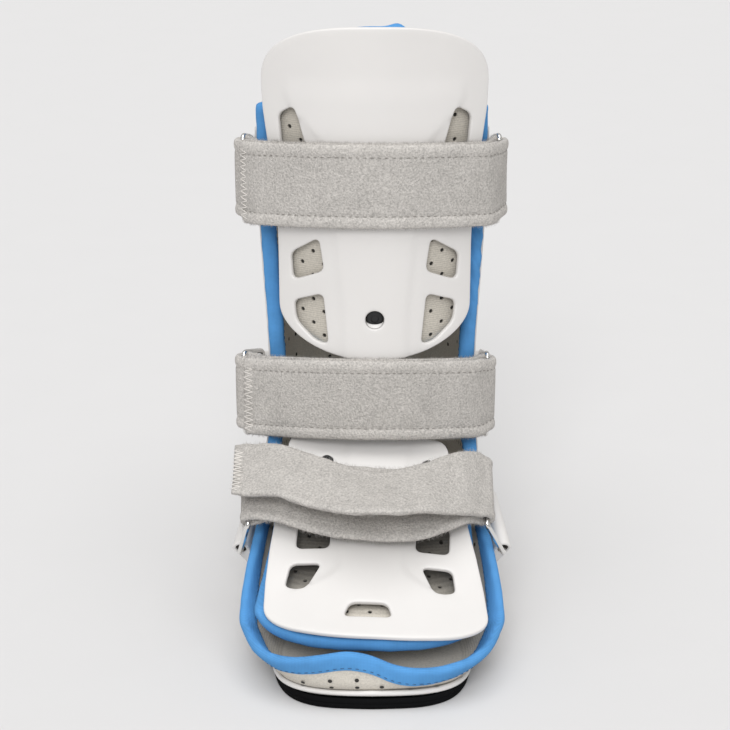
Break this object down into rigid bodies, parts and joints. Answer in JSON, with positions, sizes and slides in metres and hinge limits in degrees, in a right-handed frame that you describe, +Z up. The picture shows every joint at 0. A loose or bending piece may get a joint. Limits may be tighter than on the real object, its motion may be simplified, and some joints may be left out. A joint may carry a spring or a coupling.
{
  "type": "night splint",
  "caption": "Upright foot and ankle night splint: moulded shell with a padded liner, windowed shin and instep plates, and loop straps on wire rings.",
  "frame": {"origin": "on the floor under the sole, below the middle of the whole width and length", "axes": "+Z up the leg, -Y towards the toe, +X to the viewer's right when the toe faces the viewer"},
  "size_m": [0.155, 0.2558, 0.3368],
  "materials": {
    "white_plastic": "satin moulded polypropylene",
    "black_rubber": "matt rubber",
    "grey_padding": "brushed loop cloth over foam",
    "blue_tape": "folded binding tape",
    "loop_strap": "loop pile strap",
    "chrome_wire": "plated wire",
    "black_rivet": "satin"
  },
  "bodies": {
    "root": {"back_shell": "white_plastic", "shin_plate": "white_plastic", "instep_plate": "white_plastic", "sole": "black_rubber", "liner": "grey_padding", "shin_pad": "grey_padding", "instep_pad": "grey_padding", "liner_binding": "blue_tape", "shin_pad_binding": "blue_tape", "instep_pad_binding": "blue_tape", "calf_strap": "loop_strap", "ankle_strap": "loop_strap", "instep_strap": "loop_strap", "calf_ring_left": "chrome_wire", "calf_ring_right": "chrome_wire", "ankle_ring_left": "chrome_wire", "ankle_ring_right": "chrome_wire", "instep_ring_left": "chrome_wire", "instep_ring_right": "chrome_wire", "shin_rivet_centre": "black_rivet", "shin_rivet_left": "black_rivet", "shin_rivet_right": "black_rivet", "instep_rivet_left": "black_rivet", "instep_rivet_right": "black_rivet"}
  },
  "joints": []
}
